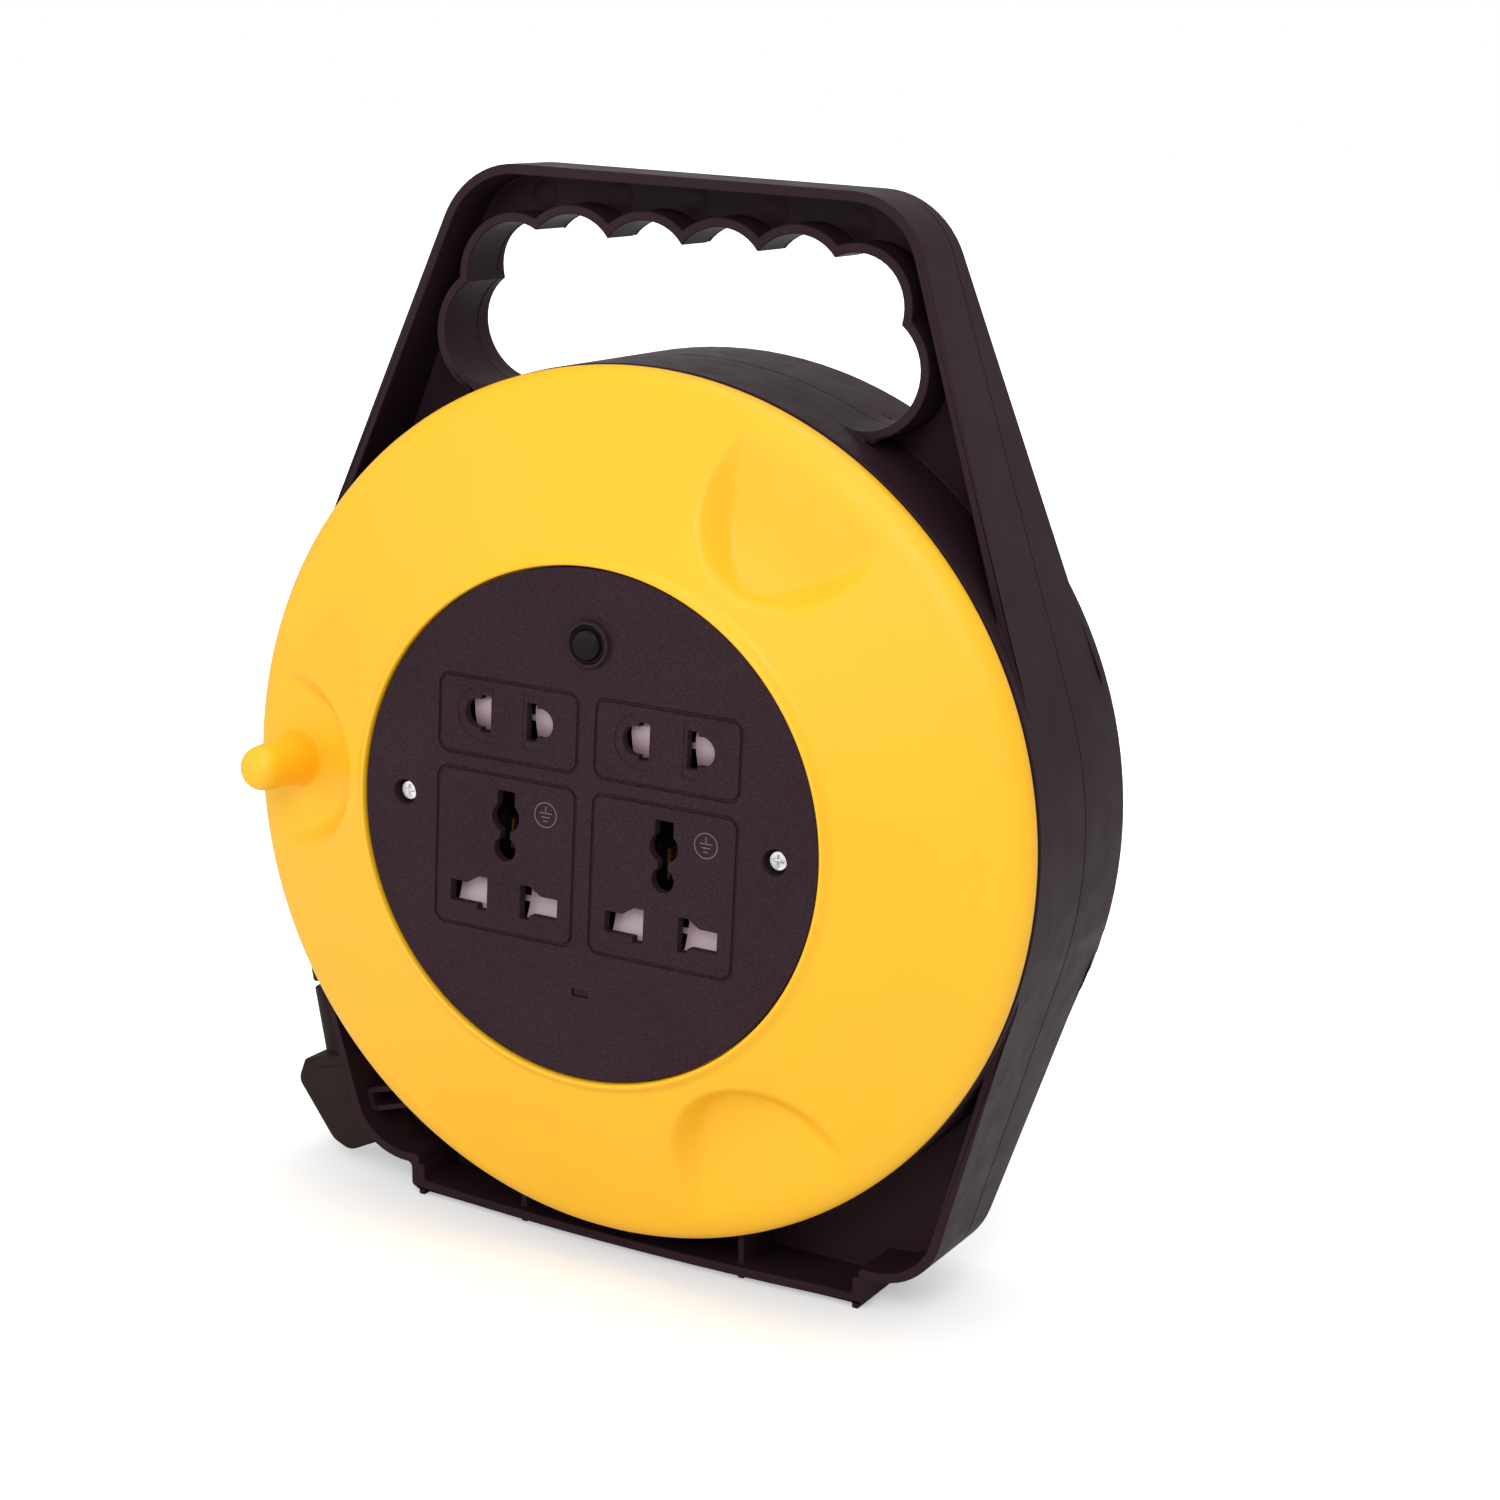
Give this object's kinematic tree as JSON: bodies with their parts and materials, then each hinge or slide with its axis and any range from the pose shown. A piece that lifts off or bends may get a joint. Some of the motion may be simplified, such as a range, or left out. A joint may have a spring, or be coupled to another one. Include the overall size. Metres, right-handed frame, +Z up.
{
  "type": "extension cord reel",
  "caption": "Hand-carried extension cord reel: a drum with shuttered outlets and a crank knob turns on an axle in a case with a shaped grip; the plug parks at the case's corner.",
  "frame": {"origin": "on the floor under the drum's axle, in the plane where the case's two halves meet", "axes": "+X to the right seen from the outlets' side, +Y along the axle to the back, +Z up"},
  "size_m": [0.2492, 0.0907, 0.2998],
  "materials": {
    "casing_black": "satin moulded",
    "drum_yellow": "satin moulded",
    "panel_black": "fine grained",
    "drum_black": "satin moulded",
    "shutter_grey": "smooth",
    "button_black": "polished",
    "plug_black": "soft moulded",
    "cable_black": "smooth sheath",
    "bush_rubber": "matt",
    "zinc_steel": "zinc plated",
    "spring_steel": "drawn wire",
    "washer_nylon": "plain nylon",
    "contact_brass": "stamped",
    "lens_smoked": "dark window",
    "lamp_glass": "clear",
    "core_brown": "smooth",
    "core_blue": "smooth",
    "core_green": "smooth"
  },
  "bodies": {
    "case": {"front_casing": "casing_black", "rear_casing": "casing_black", "casing_screws": "zinc_steel", "outlet_bush": "bush_rubber", "drum_axle": "zinc_steel", "thrust_washer": "washer_nylon", "retaining_washer": "zinc_steel", "retaining_screw": "zinc_steel", "cable_lead": "cable_black", "plug_body": "plug_black", "plug_strain_relief": "plug_black", "plug_blades": "contact_brass", "plug_earth_pin": "contact_brass"},
    "drum": {"front_flange": "drum_yellow", "drum_barrel": "drum_black", "rear_flange": "drum_black", "front_flange_screws": "zinc_steel", "rear_flange_screws": "zinc_steel", "knob_pin": "zinc_steel", "socket_panel": "panel_black", "panel_screws": "zinc_steel", "contact_carrier": "drum_black", "carrier_screws": "zinc_steel", "live_strip": "contact_brass", "neutral_strip": "contact_brass", "earth_strip": "contact_brass", "cutout_body": "drum_black", "cutout_nut": "panel_black", "cutout_terminals": "contact_brass", "indicator_lens": "lens_smoked", "indicator_lamp": "lamp_glass", "cable_inner_layers": "cable_black", "cable_outer_layer": "cable_black", "cable_tail": "cable_black", "cable_clamp": "drum_black", "clamp_screws": "zinc_steel", "two_pin_spring_left": "spring_steel", "two_pin_spring_right": "spring_steel", "three_pin_spring_left": "spring_steel", "three_pin_spring_right": "spring_steel", "live_wire": "core_brown", "neutral_wire": "core_blue", "earth_wire": "core_green", "live_link": "core_brown"},
    "knob": {"crank_knob": "drum_yellow"},
    "reset_button": {"reset_button": "button_black"},
    "two_pin_shutter_left": {"two_pin_shutter_left": "shutter_grey"},
    "two_pin_shutter_right": {"two_pin_shutter_right": "shutter_grey"},
    "three_pin_shutter_left": {"three_pin_shutter_left": "shutter_grey"},
    "three_pin_shutter_right": {"three_pin_shutter_right": "shutter_grey"}
  },
  "joints": [
    {"name": "drum_spin", "type": "hinge", "parent": "case", "child": "drum", "pos_m": [0, 0, 0.1315], "axis": [0, 1, 0], "continuous": true},
    {"name": "knob_spin", "type": "hinge", "parent": "drum", "child": "knob", "pos_m": [-0.1035, -0.0385, 0.1315], "axis": [0, 1, 0], "continuous": true},
    {"name": "reset_press", "type": "slide", "parent": "drum", "child": "reset_button", "axis": [0, 1, 0], "range_m": [-0.0025, 0.001], "stiffness_N_per_m": 800},
    {"name": "two_pin_shutter_left_slide", "type": "slide", "parent": "drum", "child": "two_pin_shutter_left", "axis": [0, 0, 1], "range_m": [0, 0.0106], "stiffness_N_per_m": 30, "springref_m": -0.004, "deforming": ["two_pin_spring_left"]},
    {"name": "three_pin_shutter_left_slide", "type": "slide", "parent": "drum", "child": "three_pin_shutter_left", "axis": [0, 0, 1], "range_m": [-0.0086, 0], "stiffness_N_per_m": 30, "springref_m": 0.004, "deforming": ["three_pin_spring_left"]},
    {"name": "two_pin_shutter_right_slide", "type": "slide", "parent": "drum", "child": "two_pin_shutter_right", "axis": [0, 0, 1], "range_m": [0, 0.0106], "stiffness_N_per_m": 30, "springref_m": -0.004, "deforming": ["two_pin_spring_right"]},
    {"name": "three_pin_shutter_right_slide", "type": "slide", "parent": "drum", "child": "three_pin_shutter_right", "axis": [0, 0, 1], "range_m": [-0.0086, 0], "stiffness_N_per_m": 30, "springref_m": 0.004, "deforming": ["three_pin_spring_right"]}
  ]
}
